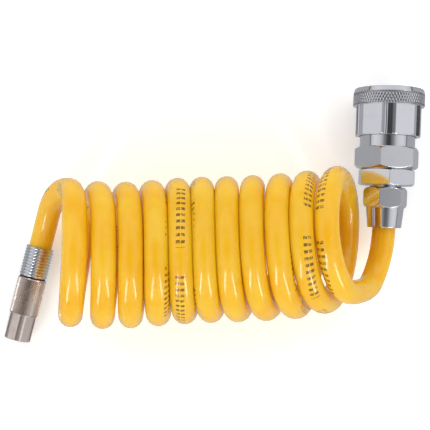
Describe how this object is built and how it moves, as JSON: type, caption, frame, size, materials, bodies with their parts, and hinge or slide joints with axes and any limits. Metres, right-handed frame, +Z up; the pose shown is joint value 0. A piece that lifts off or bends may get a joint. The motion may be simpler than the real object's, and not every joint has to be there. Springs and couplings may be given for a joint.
{
  "type": "recoil air hose",
  "caption": "Self-coiling air hose wound in a coil, with a sleeve-lock quick coupler on one end and a screw-on tyre valve chuck on the other.",
  "frame": {"origin": "on the surface the hose lies on, under the middle of the whole object's box", "axes": "+Z up; +X along the coil, from the chuck's end to the coupler's end; +Y towards the coupler's mouth"},
  "size_m": [0.147, 0.0887, 0.0487],
  "materials": {
    "hose_polyurethane": "gloss",
    "coupler_chrome": "polished",
    "chuck_nickel": "satin",
    "inner_brass": "satin",
    "spring_steel": "satin",
    "seal_rubber": "matte"
  },
  "bodies": {
    "hose_and_fittings": {"hose_coil": "hose_polyurethane", "hose_lead_coupler": "hose_polyurethane", "hose_lead_chuck": "hose_polyurethane", "coupler_body": "coupler_chrome", "snap_ring": "spring_steel", "plug_seal": "seal_rubber", "sleeve_spring": "spring_steel", "valve_spring": "spring_steel", "adapter_gasket": "seal_rubber", "hose_adapter": "coupler_chrome", "hose_nut": "coupler_chrome", "chuck_ferrule": "coupler_chrome", "chuck_stem": "inner_brass", "swivel_ring": "seal_rubber", "chuck_seal": "seal_rubber", "depressor_pin": "inner_brass"},
    "sleeve": {"coupler_sleeve": "coupler_chrome"},
    "poppet": {"valve_poppet": "inner_brass", "poppet_seal": "seal_rubber"},
    "barrel": {"chuck_barrel": "chuck_nickel"},
    "ball_1": {"locking_ball_1": "spring_steel"},
    "ball_2": {"locking_ball_2": "spring_steel"},
    "ball_3": {"locking_ball_3": "spring_steel"},
    "ball_4": {"locking_ball_4": "spring_steel"},
    "ball_5": {"locking_ball_5": "spring_steel"},
    "ball_6": {"locking_ball_6": "spring_steel"}
  },
  "joints": [
    {"name": "sleeve_slide", "type": "slide", "parent": "hose_and_fittings", "child": "sleeve", "axis": [-0.0384, -0.9993, 0], "range_m": [0, 0.0032], "stiffness_N_per_m": 900, "springref_m": -0.006, "deforming": ["sleeve_spring"]},
    {"name": "poppet_slide", "type": "slide", "parent": "hose_and_fittings", "child": "poppet", "axis": [-0.0384, -0.9993, 0], "range_m": [0, 0.0032], "stiffness_N_per_m": 500, "springref_m": -0.005, "deforming": ["valve_spring"]},
    {"name": "barrel_spin", "type": "hinge", "parent": "hose_and_fittings", "child": "barrel", "pos_m": [-0.06586, -0.03013, 0.00498], "axis": [-0.247, -0.969, 0], "continuous": true},
    {"name": "ball_1_slide", "type": "slide", "parent": "hose_and_fittings", "child": "ball_1", "axis": [-0.4996, 0.0192, 0.866], "range_m": [0, 0.0008]},
    {"name": "ball_2_slide", "type": "slide", "parent": "hose_and_fittings", "child": "ball_2", "axis": [-0.9993, 0.0384, 0], "range_m": [0, 0.0008]},
    {"name": "ball_3_slide", "type": "slide", "parent": "hose_and_fittings", "child": "ball_3", "axis": [-0.4996, 0.0192, -0.866], "range_m": [0, 0.0008]},
    {"name": "ball_4_slide", "type": "slide", "parent": "hose_and_fittings", "child": "ball_4", "axis": [0.4996, -0.0192, -0.866], "range_m": [0, 0.0008]},
    {"name": "ball_5_slide", "type": "slide", "parent": "hose_and_fittings", "child": "ball_5", "axis": [0.9993, -0.0384, 0], "range_m": [0, 0.0008]},
    {"name": "ball_6_slide", "type": "slide", "parent": "hose_and_fittings", "child": "ball_6", "axis": [0.4996, -0.0192, 0.866], "range_m": [0, 0.0008]}
  ],
  "couplings": [
    {"joint": "ball_1_slide", "follows": "sleeve_slide", "ratio": 0.25},
    {"joint": "ball_2_slide", "follows": "sleeve_slide", "ratio": 0.25},
    {"joint": "ball_3_slide", "follows": "sleeve_slide", "ratio": 0.25},
    {"joint": "ball_4_slide", "follows": "sleeve_slide", "ratio": 0.25},
    {"joint": "ball_5_slide", "follows": "sleeve_slide", "ratio": 0.25},
    {"joint": "ball_6_slide", "follows": "sleeve_slide", "ratio": 0.25}
  ]
}
